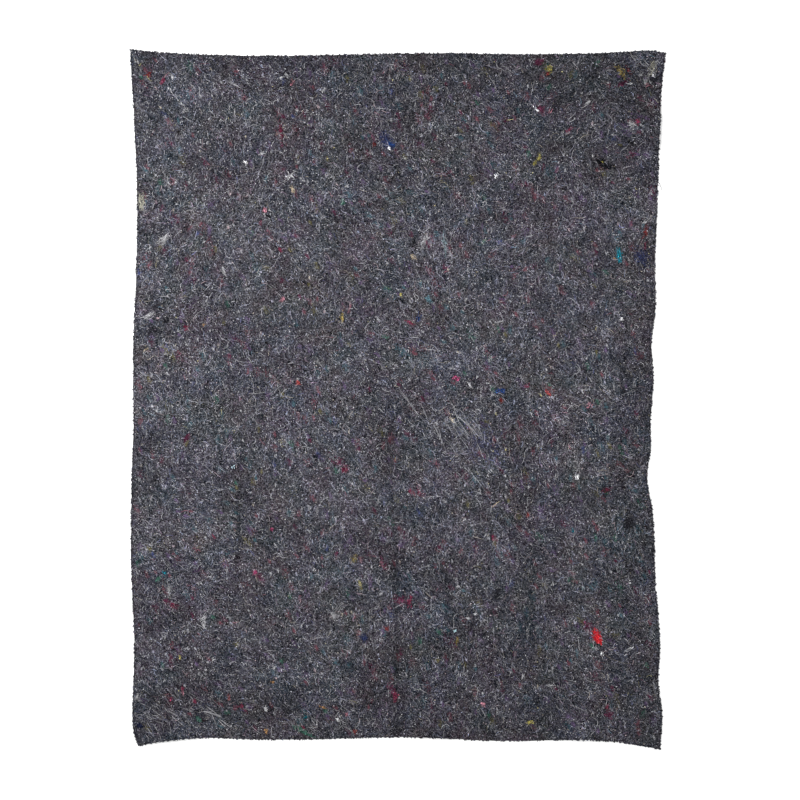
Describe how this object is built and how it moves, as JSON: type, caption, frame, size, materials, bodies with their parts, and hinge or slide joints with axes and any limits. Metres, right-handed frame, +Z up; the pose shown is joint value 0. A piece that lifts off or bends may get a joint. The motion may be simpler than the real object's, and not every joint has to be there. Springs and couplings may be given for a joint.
{
  "type": "moving blanket",
  "caption": "Flat rectangular sheet of mottled recycled-fibre felt with raw cut edges and soft fold creases, for wrapping and padding goods in transit.",
  "frame": {"origin": "on the floor, under the middle of the sheet's bounding box", "axes": "+X to the right across the short way, +Y along the long way, +Z up out of the felt's upper face"},
  "size_m": [1.417, 1.854, 0.0111],
  "materials": {
    "felt": "needle-punched recycled-fibre felt, dark blue-grey with pale hairs and coloured flecks, matt"
  },
  "bodies": {
    "root": {"blanket_felt": "felt"}
  },
  "joints": []
}
